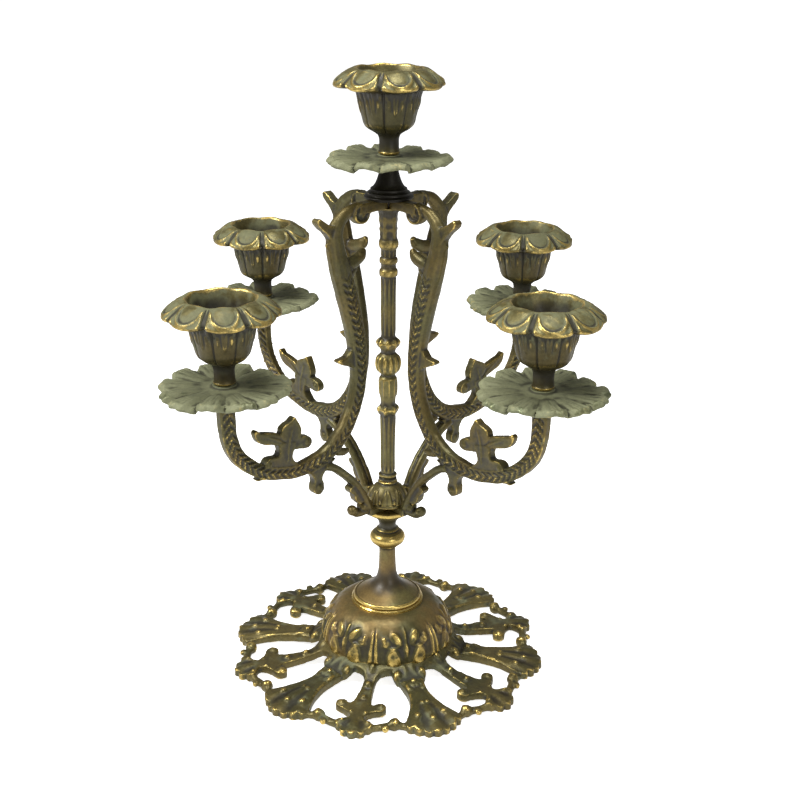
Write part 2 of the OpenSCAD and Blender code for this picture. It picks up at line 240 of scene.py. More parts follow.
def chased(piece, rule):
    """Raises or sinks the surface along its normal by rule(place, facing), in millimetres."""
    place, facing = surface_of(piece)
    put_back(piece, place + facing * rule(place, facing)[:, None])
    return piece


def bent(piece, rule):
    """Moves the surface to rule(place, facing)."""
    put_back(piece, rule(*surface_of(piece)))
    return piece


def uneven(piece, depth, size):
    """The slight unevenness of sand casting."""
    clouds = bpy.data.textures.get("sand") or bpy.data.textures.new("sand", "CLOUDS")
    clouds.noise_scale = size * MM
    pick(piece)
    sand = piece.modifiers.new("sand", "DISPLACE")
    sand.texture = clouds
    sand.texture_coords = "LOCAL"
    sand.strength = depth * MM
    sand.mid_level = 0.5
    bpy.ops.object.modifier_apply(modifier=sand.name)
    return piece


def mark(piece, name, values):
    """Stores one value for each point of a piece."""
    stored = piece.data.attributes.new(name, "FLOAT", "POINT")
    stored.data.foreach_set("value", values.astype(np.float32))


def mark_relief(piece, rounds, depth):
    """Stores how far each point stands out of (+) or lies sunk in (-) the surface around it."""
    mesh = piece.data
    place, facing = surface_of(piece)
    ends = np.empty(len(mesh.edges) * 2, dtype=np.int32)
    mesh.edges.foreach_get("vertices", ends)
    a, b = ends.reshape(-1, 2).T
    count = len(place)
    links = np.maximum(np.bincount(a, minlength=count) + np.bincount(b, minlength=count), 1)
    soft = place.copy()
    for _ in range(rounds):
        for axis in range(3):
            total = (np.bincount(a, soft[b, axis], count) + np.bincount(b, soft[a, axis], count))
            soft[:, axis] = total / links
    stands = ((place - soft) * facing).sum(axis=1)
    stands -= np.median(stands)
    mark(piece, "relief", np.clip(stands / depth, -1, 1))
    return piece


# ---- Shapes of relief ----

def bump(distance, width):
    """1 at distance 0, fading to 0 over width."""
    return np.exp(-(distance / width) ** 2)


def fade(value, start, end):
    """0 at start, 1 at end, smooth between."""
    t = np.clip((value - start) / (end - start), 0, 1)
    return t * t * (3 - 2 * t)


def boss(u, v, centre, size):
    """A low rounded boss on a surface with coordinates u and v."""
    reach = ((u - centre[0]) / size[0]) ** 2 + ((v - centre[1]) / size[1]) ** 2
    return np.sqrt(np.clip(1 - reach, 0, 1))


def polar(place):
    return np.hypot(place[:, 0], place[:, 1]), np.arctan2(place[:, 1], place[:, 0])


def share_of(angle, count):
    """Place across one of count equal sectors: 0 on its middle, -0.5 and 0.5 on its edges."""
    return (angle * count / TURN + 0.5) % 1 - 0.5


# ---- Foot ----

def island(u, v, centre, size):
    """A low plateau with soft edges on a surface with coordinates u and v."""
    return 1 - fade(np.hypot((u - centre[0]) / size[0], (v - centre[1]) / size[1]), 0.55, 1.05)


def dome_relief(place, facing):
    """Six panels, each with two curled leaves over two drops, between double spear ribs."""
    r, angle = polar(place)
    u = share_of(angle - math.radians(MOTIF_TURN + MOTIF_PITCH / 2), 6)
    v = np.clip((place[:, 2] - 12) / 20, 0, 1.2)
    side = np.abs(u)
    outer = (facing[:, 2] > -0.2) * (r > 23) * (place[:, 2] > 10.5)
    taper = 1 - np.clip(v / 0.95, 0, 1)
    ribs = fade(0.02 + 0.028 * taper - np.abs(side - 0.475 + 0.02 * taper), 0, 0.02) * fade(v, 0.02, 0.1)
    ribs *= 1 - fade(v, 0.8, 0.92)
    drop = island(side, v, (0.2 + 0.05 * (v - 0.25), 0.22), (0.15 - 0.1 * v, 0.36))
    leaf = island(side - 0.25 * (v - 0.7), v, (0.15, 0.72), (0.1, 0.2))
    hook = island(side, v, (0.3, 0.6), (0.075, 0.085)) + island(side, v, (0.345, 0.69), (0.04, 0.09))
    around = np.hypot((side - 0.22) / 0.145, (v - 0.62) / 0.13)
    crescent = bump(around - 1, 0.2) * (1 - fade(v, 0.52, 0.64))
    stem = (bump(side, 0.022) * fade(v, 0.1, 0.3) * (1 - fade(v, 0.85, 1))
            + 0.8 * island(u, v, (0, 0.46), (0.055, 0.15)))
    crease = bump(side - 0.2 - 0.25 * (v - 0.7), 0.012) * fade(v, 0.55, 0.62) * (1 - fade(v, 0.8, 0.9))
    groove = bump(side - 0.5, 0.012) * (1 - fade(v, 0.85, 1.0))
    raised = 1.1 * ribs + 1.3 * drop + 1.1 * leaf + 0.9 * hook + 0.8 * crescent + 0.9 * stem - 0.5 * crease
    return outer * (raised - 0.6 * groove)


def make_dome():
    top_z = low("stem").z
    top_r = (high("stem").x - low("stem").x) / 2 + 1
    root_r, wall = 36.5, 3
    arc = [math.radians(a) for a in range(0, 91, 5)]
    outside = [(top_r + (root_r - top_r) * math.cos(a), 12 + (top_z - 13.5) * math.sin(a)) for a in arc]
    inside = [(top_r + (root_r - wall - top_r) * math.cos(a), 12 + (top_z - 16.5) * math.sin(a)) for a in arc]
    outline = [(ROD_BORE, top_z), (top_r - 0.6, top_z), (top_r, top_z - 0.6)]
    outline += rounded(outside[::-1], 3)
    outline += [(root_r + 0.6, 9), (root_r - 0.4, 6.6), (root_r - wall, 6.2)]
    outline += rounded(inside, 1)
    outline += [(ROD_BORE, top_z - 4.5), (ROD_BORE, top_z)]
    dome = turned("dome", outline, 360)
    return chased(dome, dome_relief)


def skirt_z(r):
    """Height of the skirt's upper side at radius r."""
    return np.interp(r, (36, 38, 41, 45, 51, 60, 72, 82, 90), (12.4, 11.4, 9.2, 7.2, 6.1, 5.6, 5.4, 5, 3.6))


# The skirt is cast flat, with its upper side at height 0, and then bent to the table.

def skirt_rod(*points):
    """A rod of points (distance, y, radius, how far it stands out)."""
    return drawn([(x, y, lift - radius, radius) for x, y, radius, lift in points])


def bead(x, y, size, lift=0.0):
    return ball(x, y, lift, size)


def wide_motif():
    """A cuffed band that flares into a shell."""
    band = [(34, 9.6), (38, 9.4), (41.4, 8.9), (43.6, 8.2), (44.4, 6.9), (46, 6.7), (50, 6.1), (55, 5.9),
            (60, 6.5), (65, 7.9), (70, 10), (74, 12.2), (77, 14), (79.2, 15), (81.6, 15.2), (83.4, 14.2),
            (83.6, 12.6), (82.8, 11.6), (85, 11.5), (86.6, 10.2), (86.6, 8.4), (85.4, 7.4), (87.6, 6.9),
            (89, 5.4), (88.9, 3.6), (87.8, 2.6), (89.4, 1.8), (90, 0)]
    parts = [plate(rounded(mirrored(band), 3), 0, -4.6)]
    for side in (-1, 1):
        parts += [
            bead(41.6, side * 7, 2.5, -0.5), bead(76, side * 7, 1.3, 0), bead(66, side * 1.5, 0.9, 0.5),
            skirt_rod((36, side * 3, 1.4, 0.5), (39.6, side * 2.2, 1.5, 0.9), (43.2, side * 3.6, 1.3, 0.6)),
            skirt_rod((53.4, side * 3.2, 1, 0.8), (50.6, side * 4, 1.1, 1), (49, side * 2, 1.1, 1.2),
                      (50.8, side * 0.8, 1, 1.2)),
        ]
    parts += [bead(47.4, 0, 1.3, 0.6), bead(80, 0, 1.2, 0.1)]
    return joined("wide_motif", parts)


def narrow_motif():
    """A beaded stem on two short legs, with two round-ended curls and a small shell."""
    stem = [(34, 9.4), (37.4, 6.8), (40.4, 4.3), (44, 3.2), (50, 3.3), (56, 4), (61, 4.6), (64.2, 5.6),
            (64.6, 6.8), (62.8, 8.4), (62, 10.6), (62.8, 12.8), (65, 13.9), (67.4, 13.5), (69, 11.8),
            (69.8, 9.4), (71, 7.4), (73, 5), (75.2, 3.8), (77, 4.4), (78.4, 6.6), (79.4, 8.8), (81.6, 9.9),
            (83.8, 9.4), (84.8, 7.8), (84.2, 6.5), (86.6, 6.6), (88.2, 5.2), (88.2, 3.4), (87.2, 2.4),
            (89, 1.8), (89.8, 0)]
    parts = [plate(rounded(mirrored(stem), 3), 0, -4.4)]
    for side in (-1, 1):
        parts += [bead(65.4, side * 11, 2.9, -1.5), bead(72.4, side * 4, 1, 0.1),
                  bead(80.6, side * 6.6, 1.1, 0)]
    parts += [ball(38.4, 0, 0.2, 1.7, (1.5, 1, 0.9)), bead(48.6, 0, 2, 0.3), bead(59.4, 0, 1.6, 0.3)]
    return joined("narrow_motif", parts)


def rim_links():
    """The knobs and short bars that close the rim between neighbouring shells."""
    links = []
    for side in (-1, 1):
        middle_a = math.radians(MOTIF_PITCH / 4 * side)
        bar = []
        for share in (0.4, 0.7, 1, 1.3, 1.6):
            a = middle_a * share
            r = 80.6 - 1.4 * math.cos((share - 1) * 5)
            bar.append((r * math.cos(a), r * math.sin(a), 2.1, -0.5))
        links += [skirt_rod(*bar), ball(78.6 * math.cos(middle_a), 78.6 * math.sin(middle_a), -2.3, 3.4),
                  ball(83 * math.cos(middle_a * 0.78), 83 * math.sin(middle_a * 0.78), -1.4, 2)]
    return joined("links", links)


def skirt_collar():
    """The scalloped ring that ties the motifs to the dome."""
    arches = []
    for i in range(96):
        a = TURN * i / 96
        r = 41 - 2.2 * math.sin(a * 6) ** 2
        arches.append((r * math.cos(a), r * math.sin(a)))
    return plate(arches, 0.2, -4.6)


def skirt_relief(place, facing):
    """Ridges that spread over the shells, a bead along each band's edges and a split cuff."""
    r, angle = polar(place)
    pitch = math.radians(MOTIF_PITCH / 2)
    motif = np.round(angle / pitch)
    x, y = r * np.cos(angle - motif * pitch), np.abs(r * np.sin(angle - motif * pitch))
    wide = motif % 2 != 0
    spread = np.arctan2(y, x - np.where(wide, 52, 70))
    ridges = (np.cos(spread * np.where(wide, 19, 9.5))
              * fade(x, np.where(wide, 62, 76), np.where(wide, 76, 83)))
    half = np.interp(x, (44, 50, 56, 64, 72, 80), (6.7, 6.1, 5.9, 7.6, 11, 15))
    border = bump(y - half + 1.5, 0.7) * (x > 45) * (1 - fade(x, 70, 78))
    swell = np.clip(1 - (y / half) ** 2, 0, 1) * (x > 44.6) * (1 - fade(x, 74, 82))
    cuff = bump(x - 44.8, 0.5) * (y < 8.4)
    up = fade(facing[:, 2], 0.5, 0.8)
    return up * (0.55 * ridges + wide * (0.5 * border + 0.9 * swell - 0.9 * cuff))


def to_the_table(place, facing):
    """Bends the flat casting down to the table."""
    new = place.copy()
    new[:, 2] = np.clip(place[:, 2] + skirt_z(np.hypot(place[:, 0], place[:, 1])), 0, None)
    return new


def make_foot():
    narrow, wide, links = narrow_motif(), wide_motif(), rim_links()
    parts = [skirt_collar()]
    for i in range(6):
        parts.append(copied(narrow, "motif", i * MOTIF_PITCH))
        parts.append(copied(wide, "motif", (i + 0.5) * MOTIF_PITCH))
        parts.append(copied(links, "links", i * MOTIF_PITCH))
    for pattern in (narrow, wide, links):
        bpy.data.objects.remove(pattern)
    skirt = fused(joined("foot_skirt", parts), 0.7, 2)
    bent(chased(skirt, skirt_relief), to_the_table)
    skirt.rotation_euler.z = math.radians(MOTIF_TURN)
    settle(skirt)
    dome = make_dome()
    for piece, name in ((skirt, "foot_skirt"), (dome, "foot_dome")):
        piece.name = piece.data.name = name
        uneven(piece, 0.5, 6)
        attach(piece, "base")
        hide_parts("foot")
    mark_relief(skirt, 14, 0.6)
    mark_relief(dome, 30, 0.6)
    return skirt, dome


# ---- Stem, bell, column and cap ----

def stand(piece, node, depth, size, rounds=20, scale=0.4):
    """Finishes a piece of the stack and lets it ride with the candelabrum."""
    uneven(piece, depth, size)
    mark_relief(piece, rounds, scale)
    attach(piece, "candelabrum")
    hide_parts(node)
    return piece


def make_stem():
    z0, z1 = low("stem").z, high("stem").z
    knop_z, top = z1 - 18, z1
    outline = [(ROD_BORE, z0), (18.6, z0), (19.2, z0 + 0.5)]
    outline += rounded([(19.25, z0 + 1), (19, z0 + 1.9), (18.2, z0 + 2.5), (17.6, z0 + 2.3), (17, z0 + 2.7),
                        (14, z0 + 4.4), (10.6, z0 + 6.6), (7.6, z0 + 9.6), (5.9, z0 + 13), (5.1, z0 + 17),
                        (4.7, z0 + 24), (4.6, z0 + 30), (4.9, knop_z - 6.4), (6.2, knop_z - 5.2),
                        (5.6, knop_z - 4.4), (8.4, knop_z - 3.4), (9.8, knop_z - 1.2), (9.6, knop_z + 1.2),
                        (8, knop_z + 3), (5.9, knop_z + 4), (6.4, knop_z + 5), (5, knop_z + 6.2),
                        (4.8, knop_z + 8), (5.6, top - 7.6), (8, top - 5), (10.8, top - 3.2), (12.3, top - 2),
                        (12.5, top - 0.8)], 4)
    outline += [(12.3, top), (ROD_BORE, top), (ROD_BORE, z0)]
    return stand(turned("turned_stem", outline, 96), "stem", 0.25, 7)


def bell_relief(place, facing):
    """Pointed leaves over the bell, with a bead between each two."""
    z0 = low("bell").z
    r, angle = polar(place)
    u = share_of(angle, 8)
    v = (place[:, 2] - z0 - 2) / 9
    outer = (facing[:, 2] > -0.3) * (r > 4.9) * (v > -0.05)
    width = 0.42 * np.sqrt(np.clip(1 - v, 0.02, 1))
    leaf = (1 - fade(np.abs(u) / width, 0.75, 1.1)) * (1 - fade(v, 0.7, 0.95))
    vein = bump(u, 0.05)
    pearl = boss(np.abs(u), v, (0.5, 0.16), (0.13, 0.13))
    return outer * (0.75 * leaf - 0.5 * vein * leaf + 0.9 * pearl)


def make_bell():
    z0, z1 = low("bell").z, high("bell").z
    outline = [(ROD_BORE, z0), (10.6, z0)]
    outline += rounded([(11, z0 + 0.3), (11.1, z0 + 1), (10.6, z0 + 1.7), (10.1, z0 + 1.8), (10.4, z0 + 3.4),
                        (9.7, z0 + 6), (8.3, z0 + 8.6), (6.6, z0 + 10.6), (5.2, z0 + 11.6), (4.9, z0 + 12.2),
                        (5.4, z0 + 12.9), (4.8, z1)], 5)
    outline += [(ROD_BORE, z1), (ROD_BORE, z0)]
    return stand(chased(turned("leafed_bell", outline, 192), bell_relief), "bell", 0.2, 5)


def column_relief(place, facing):
    """Flutes on the shafts, leaves on the head and on the two vases, gadroons on the ball."""
    z0, z1 = low("column").z, high("column").z
    h = z1 - z0
    ball_z = z0 + h * 0.447
    r, angle = polar(place)
    z = place[:, 2]
    outer = (r > 3) * (np.abs(facing[:, 2]) < 0.98)
    flute = np.abs(np.sin(angle * 5)) - 0.5

    def between(start, end, soft=1.0):
        return fade(z, start, start + soft) * (1 - fade(z, end - soft, end))
    shafts = (between(z0 + 6, ball_z - 29) + between(ball_z - 19, ball_z - 9) + between(ball_z + 16, z1 - 37)
              + between(z1 - 26, z1 - 22))
    u = share_of(angle, 6)
    low_leaf = between(ball_z - 30, ball_z - 23, 2) * bump(u, 0.2)
    high_leaf = between(ball_z + 8, ball_z + 15, 2) * bump(share_of(angle, 8), 0.22)
    head_v = (z - (z1 - 16)) / 14
    head = between(z1 - 16, z1 - 2) * (bump(share_of(angle, 5), 0.26 - 0.1 * head_v) - 0.45)
    gadroon = between(ball_z - 5, ball_z + 5, 1.5) * (np.abs(np.cos(angle * 6)) - 0.55)
    rings = np.sin(z * 2.6) * between(z1 - 14, z1 - 5, 2) * 0.25
    return outer * (-0.55 * shafts * flute + 0.9 * low_leaf + 0.8 * high_leaf + 0.8 * head
                    + 0.9 * gadroon + rings)


def make_column():
    z0, z1 = low("column").z, high("column").z
    h = z1 - z0
    ball_z = z0 + h * 0.447
    outline = [(ROD_BORE, z0), (4.4, z0)]
    outline += rounded([(5, z0 + 0.5), (4.9, z0 + 1.4), (4.1, z0 + 2), (5, z0 + 3), (4.9, z0 + 3.8),
                        (3.9, z0 + 4.6), (3.8, z0 + 7), (3.8, z0 + 20), (4.1, ball_z - 31),
                        (4.5, ball_z - 28), (5.3, ball_z - 26), (4.4, ball_z - 24.4), (4, ball_z - 22),
                        (4.3, ball_z - 19), (4.9, ball_z - 16), (5, ball_z - 11), (4.8, ball_z - 8.4),
                        (4, ball_z - 7.2), (3.9, ball_z - 6), (5, ball_z - 5), (6.3, ball_z - 2.6),
                        (6.8, ball_z), (6.3, ball_z + 2.6), (4.8, ball_z + 5), (3.9, ball_z + 6.2),
                        (4.2, ball_z + 8), (5.4, ball_z + 10.6), (5.8, ball_z + 12), (4.4, ball_z + 14),
                        (3.8, ball_z + 16.4), (3.8, ball_z + 30), (3.9, z1 - 38), (4.7, z1 - 36),
                        (4.8, z1 - 33.4), (4, z1 - 32), (3.9, z1 - 30), (4.7, z1 - 28.8), (4.7, z1 - 27),
                        (3.9, z1 - 25.8), (3.9, z1 - 22.6), (5, z1 - 20.4), (5.1, z1 - 18), (4.4, z1 - 15.6),
                        (4.4, z1 - 10), (4.8, z1 - 4), (5.9, z1 - 1.2)], 4)
    outline += [(6.1, z1), (ROD_BORE, z1), (ROD_BORE, z0)]
    piece = chased(turned("fluted_column", outline, 120), column_relief)
    return stand(piece, "column", 0.25, 5)


def make_cap():
    z0, z1 = low("cap").z, high("cap").z
    outline = [(ROD_BORE, z0), (12.2, z0)]
    outline += rounded([(12.7, z0 + 0.5), (12.6, z0 + 1.5), (11.4, z0 + 2), (11.1, z0 + 2.6), (11, z0 + 3.4),
                        (9.9, z0 + 3.9), (9.5, z0 + 4.6), (9.4, z0 + 5.3), (8.4, z0 + 5.9), (7.2, z0 + 7.4),
                        (6.1, z0 + 10), (5.2, z0 + 13), (4.7, z0 + 15.6), (4.7, z0 + 16.6), (5.2, z0 + 17.2)],
                       4)
    outline += [(5.1, z1), (ROD_BORE, z1), (ROD_BORE, z0)]
    return stand(turned("stepped_cap", outline, 96), "cap", 0.3, 6)


# ---- Arms, modelled along +X in the plane Y = 0 ----

def scroll_line():
    """Stations of an arm's main scroll: distance from the column, height, half width."""
    seat_z = low("candle_cup_1").z - PAN_SEAT
    tang_z = (low("cap").z + high("column").z) / 2
    reach = middle("candle_cup_1").x

    def up(share):
        return RUN_Z + share * (tang_z - RUN_Z)

    def out(share):
        return 45 + share * (reach - 45)

    def rise(share):
        return RUN_Z + share * (seat_z - RUN_Z)
    return [(9, up(1), 2.3), (14, up(1), 2.3), (20, up(1.006), 2.4), (26, up(1), 2.8), (32, up(0.975), 3.6),
            (36.6, up(0.925), 4.6), (36.4, up(0.86), 5.4), (33.6, up(0.775), 6), (30, up(0.685), 6),
            (26.6, up(0.59), 5.8), (23.7, up(0.495), 5.5), (21.9, up(0.4), 5.1), (21.7, up(0.31), 4.8),
            (23.8, up(0.225), 4.6), (28.4, up(0.145), 4.6), (35.5, up(0.075), 4.6), (45, up(0.025), 4.5),
            (out(0.18), RUN_Z + 0.5, 4.2), (out(0.33), RUN_Z, 3.8), (out(0.48), rise(0.03), 3.6),
            (out(0.64), rise(0.09), 3.6), (out(0.8), rise(0.21), 3.8), (out(0.92), rise(0.36), 4),
            (out(0.98), rise(0.52), 4.3), (reach, rise(0.7), 4.6), (reach, rise(0.86), 4.8),
            (reach, seat_z - 0.1, 5)]


def plane_rod(points, across=1.0, y=0, between=5):
    """A rod in an arm's plane through points (distance, height, half width)."""
    return drawn([(x, y, z, half) for x, z, half in points], between, across)


def volute(x, z, size):
    """The rolled leaf end that hangs under an arm's upper end, with a button as its eye."""
    turns, steps = 1.3, 15
    spiral = []
    for i in range(steps + 1):
        t = i / steps
        a = math.radians(80) - t * turns * TURN
        r = size * (1 - 0.66 * t)
        spiral.append((x + 1.15 * r * math.cos(a), z + r * math.sin(a), 1.1 - 0.35 * t))
    return [plane_rod(spiral, 3.1), ball(x, 0, z, size * 0.95, (1.15, 0.4, 1)),
            ball(x, 0, z, 1.8, (1, 1.85, 1)),
            plane_rod([(x - 3, z + 4.2, 1.6), (x - 7, z + 2.4, 1.5), (x - 10, z + 1.6, 1.2)], 1.6)]


def leaf_tip(points, half, thick, across=0.8):
    """A pointed leaf: a tapering rod from its root to its tip."""
    last = len(points) - 1
    widths = [half * (1 - 0.25 * i / last) for i in range(last)] + [thick]
    return plane_rod([(x, z, w) for (x, z), w in zip(points, widths)], across)


def leaf(outline, half_y, base_z=0.0):
    """A flat cast leaf in an arm's plane, its outline measured up from base_z."""
    return plate(rounded([(x, z + base_z) for x, z in outline], 2), half_y, -half_y, upright=True)


def arm_leaves():
    """The leaves, thorns and nubs of an arm."""
    parts = [
        # A hooked leaf towards the column, a thorn on the outer side, and a nub at the corner
        leaf_tip([(34, 235), (28.4, 235.6), (23.4, 236.8), (19.4, 239), (17, 242)], 4, 1.4),
        leaf_tip([(31, 230), (26, 231.4), (23, 233.4)], 3, 1.6),
        leaf([(25, 179), (28.6, 181.4), (32, 182.8), (36.6, 185.2), (35.6, 186.8), (31, 187.2),
              (28.4, 190), (25, 192)], 2.4),
        leaf([(35, 249), (37, 256), (41, 257.6), (45, 260.4), (48, 262), (49.6, 260.4), (48, 257.6),
              (44.6, 254.8), (42, 252), (38, 246)], 2.6),
        ball(47.2, 0, 259.8, 2.1, (1.1, 1.3, 1)),
        leaf_tip([(35, 245), (40, 246.6), (42, 248.6)], 2.6, 1.3),
    ]
    # The sprig on the run: a pedestal with a hump, a bud, a paddle and a long leaf
    parts += [leaf([(62, 2), (66, 5.4), (68.2, 8.6), (67.6, 12), (66.4, 16.4), (75.8, 18), (76.4, 14),
                    (77.3, 11.6), (80, 12), (83, 12.2), (85.6, 10.4), (86.8, 7.6), (89, 4), (92, 2)], 2.5,
                   RUN_Z),
              leaf([(66.4, 17), (63.2, 18.4), (62.2, 21.6), (63, 25), (64.4, 27.4), (65.8, 30),
                    (67.4, 29.6), (68.8, 28.2), (70.6, 27.8), (72.2, 27.2), (74.4, 26),
                    (75, 23.4), (74.2, 20.4), (71.4, 17.6)], 2.3, RUN_Z),
              leaf([(70, 15), (77.8, 17.6), (81.5, 19), (85.6, 20.2), (89, 22), (91, 24.8), (91.6, 28),
                    (90, 29), (88, 27.2), (85.4, 26.6), (82, 25.6), (78, 24.4), (74, 22.4)], 1.9, RUN_Z),
              leaf([(69, 12.8), (63.5, 12), (59, 11), (56, 12), (55.2, 14.4), (56.4, 16.8), (59.4, 18),
                    (63, 18.4), (67, 18.8)], 2.2, RUN_Z), ball(58.6, 0, RUN_Z + 14.4, 2.8, (1, 1.2, 1)),
              ball(83.4, 0, RUN_Z + 9, 2.5, (1, 1.3, 1)),
              plane_rod([(71.6, RUN_Z + 8, 1.2), (71, RUN_Z + 15, 1.2), (68.6, RUN_Z + 23, 1.1),
                         (66.6, RUN_Z + 28, 0.7)], 2.6),
              plane_rod([(72, RUN_Z + 17, 1), (80, RUN_Z + 22, 1), (89.6, RUN_Z + 26.6, 0.7)], 2.4)]
    # The drop under the run and the crockets inside the bend
    parts += [leaf([(39, 0), (44, -3), (47.4, -5.6), (49, -8.6), (47.8, -11.6), (47.6, -14.6), (49.6, -17),
                    (52.6, -17), (54.8, -14.6), (54.6, -11.4), (54, -8.6), (56, -5), (60, -2)], 2.5, RUN_Z),
              ball(51.2, 0, RUN_Z - 13.6, 2.9, (1, 1.3, 1)),
              leaf_tip([(37, 136), (31.6, 134.4), (28.4, 134.6)], 2.6, 1.2)]
    return parts


def strut():
    """The strut from the run down to the lower tang: two edges with a groove between, a leaf and a
    rolled end."""
    low_z = low("bell").z - 1.5
    spine = [(47, 131, 2.9), (41, 128.4, 2.8), (34.6, 123.4, 2.7), (28, 117.4, 2.6), (22.6, 110.6, 2.6),
             (18.6, 103.6, 2.8), (16, 97, 3)]
    parts = [drawn([(x, y, z, half * 0.8) for x, z, half in spine]) for y in (-1.7, 1.7)]
    parts += [leaf([(19.4, 103.6), (23, 108), (25, 111.6), (27.8, 113.6), (30, 112), (28.4, 109.4),
                    (26.4, 108), (25.6, 104.4), (22, 100.6)], 2.6),
              plane_rod([(15, 96.6, 3.2), (19, 95.4, 2.9), (23, 95.8, 2.7), (26, 97.6, 2.4)], 0.95),
              ball(26.2, 0, 98, 2.9, (1, 1.2, 1)), ball(19, 0, 98.4, 2.8, (1, 1.3, 1)),
              plane_rod([(14.6, low_z, 2), (15, 96, 3), (15.4, 100, 3)], 1.1)]
    return parts


def tang(r0, r1, z0, z1, half_y):
    """A flat tang clamped in the stack."""
    clear_bench()
    bpy.ops.mesh.primitive_cube_add(size=1, location=((r0 + r1) / 2 * MM, 0, (z0 + z1) / 2 * MM),
                                    scale=((r1 - r0) * MM, 2 * half_y * MM, (z1 - z0) * MM))
    return settle(bpy.context.object)


def chevrons(line):
    """Herringbone between smooth borders on the two side faces of the scroll."""
    path = np.array(rounded(line, 8))
    length = np.concatenate([[0], np.cumsum(np.hypot(*np.diff(path[:, :2], axis=0).T))])
    along = np.gradient(path[:, :2], axis=0)
    along /= np.linalg.norm(along, axis=1)[:, None]

    def rule(place, facing):
        flat = place[:, [0, 2]]
        near = np.empty(len(flat), dtype=int)
        for start in range(0, len(flat), 20000):
            part = flat[start:start + 20000]
            gap = ((part[:, None, :] - path[None, :, :2]) ** 2).sum(axis=2)
            near[start:start + 20000] = gap.argmin(axis=1)
        off = flat - path[near, :2]
        s = length[near] + (off * along[near]).sum(axis=1)
        n = (off[:, 1] * along[near, 0] - off[:, 0] * along[near, 1]) / path[near, 2]
        share = s / length[-1]
        riser = fade(share, 0.6, 0.7)
        band = 1 - fade(np.abs(n), 0.5 + 0.18 * riser, 0.62 + 0.18 * riser)
        wave = np.abs(((s + 5.2 * np.abs(n)) / 4.2) % 1 - 0.5) * 2
        border = bump(np.abs(n) - 0.74 - 0.12 * riser, 0.1)
        grain = 0.3 * np.sin(3.1 * s + 9 * n) * np.sin(2.2 * s - 11 * n)
        flank = fade(np.abs(facing[:, 1]), 0.25, 0.55)
        inside = (np.abs(n) < 1.15) * fade(share, 0.2, 0.24) * (1 - fade(share, 0.955, 0.98))
        return flank * inside * (band * (0.95 * wave - 0.6 + grain) + 0.4 * border)
    return rule


def model_arm():
    line = scroll_line()
    low_z = (high("stem").z + low("bell").z) / 2
    parts = [plane_rod(line, 0.8, between=8)]
    parts += volute(19.6, 260.4, 5.5) + arm_leaves() + strut()
    parts += [tang(3.6, 22, high("column").z - 0.3, low("cap").z + 0.3, 3.1),
              tang(3.6, 15.5, low_z - 1.9, low_z + 1.9, 3)]
    arm = fused(joined("arm", parts), 0.5, 3)
    return chased(arm, chevrons(line))


def make_arms():
    pattern = model_arm()
    arms = []
    for i, number in enumerate(ARMS):
        arm = copied(pattern, "scroll_arm_" + number, i * 90)
        uneven(arm, 0.5, 5)
        mark_relief(arm, 12, 0.4)
        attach(arm, "candelabrum")
        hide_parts("arm_" + number)
        arms.append(arm)
    bpy.data.objects.remove(pattern)
    return arms


# ---- Drip pans ----

def pan_leaves(place, facing):
    """Uneven leaves with round ends and deep notches, folded along their middles."""
    r, angle = polar(place)
    at = (angle / TURN * PAN_LEAVES) % PAN_LEAVES
    leaf = np.floor(at)
    w = (at % 1) * 2 - 1
    w = w + 0.16 * np.sin(2.3 * leaf + 1) * (1 - w * w)
    length = 33 - 0.9 * (1 + np.sin(3.7 * leaf)) - 4.4 * np.abs(w) ** 3.4 - 0.35 * np.cos(3 * np.pi * w)
    out = fade(r, 13, 30)
    pull = 1 + (length / 32 - 1) * out
    lift = np.clip((r - 10.5) / 20, 0, 1) ** 0.9
    fold = 1.1 - 2.3 * w * w + 0.9 * np.sin(5.1 * leaf + 0.6) * np.clip((r - 18) / 13, 0, 1)
    vein = -0.5 * bump(w, 0.1) + 0.3 * np.cos(w * 12) * fade(r, 16, 24)
    rolled = 0.5 * bump(r - 30, 1.6)
    top = facing[:, 2] > 0
    new = place.copy()
    new[:, 0] *= pull
    new[:, 1] *= pull
    new[:, 2] += lift * (0.95 * fold + (vein + rolled) * top)
    return new


def model_pan():
    outline = [(STUD_BORE, 0), (STUD_BORE, 4), (5.6, 4), (6, 3.7), (6.2, 3.3), (8.6, 3)]
    outline += rounded([(11, 2.9), (14, 3), (17, 3.1), (20, 3.1), (23, 3.1), (26, 3), (29, 2.8), (30.8, 2.4),
                        (31.8, 1.6), (32, 0.8), (31.4, 0), (30, -0.2), (27, 0.4), (23, 0.9), (17, 1.1),
                        (11, 0.8), (6.4, 0.1)], 3)
    outline += [(5.6, 0), (STUD_BORE, 0)]
    return bent(turned("pan", outline, 480, 60), pan_leaves)


def make_pans():
    pattern = model_pan()
    pans = []
    for name in SEATS:
        seat = middle("drip_pan_" + name)
        seat.z = low("candle_cup_" + name).z - PAN_SEAT + 0.1
        pan = copied(pattern, "leafy_pan_" + name, PAN_TURNS[name], seat)
        uneven(pan, 0.55, 7)
        mark_relief(pan, 30, 0.35)
        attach(pan, "pan_" + name)
        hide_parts("drip_pan_" + name)
        pans.append(pan)
    bpy.data.objects.remove(pattern)
    return pans


# ---- Candle cups ----

CREST_R, TIP_R = 17.4, 27.9


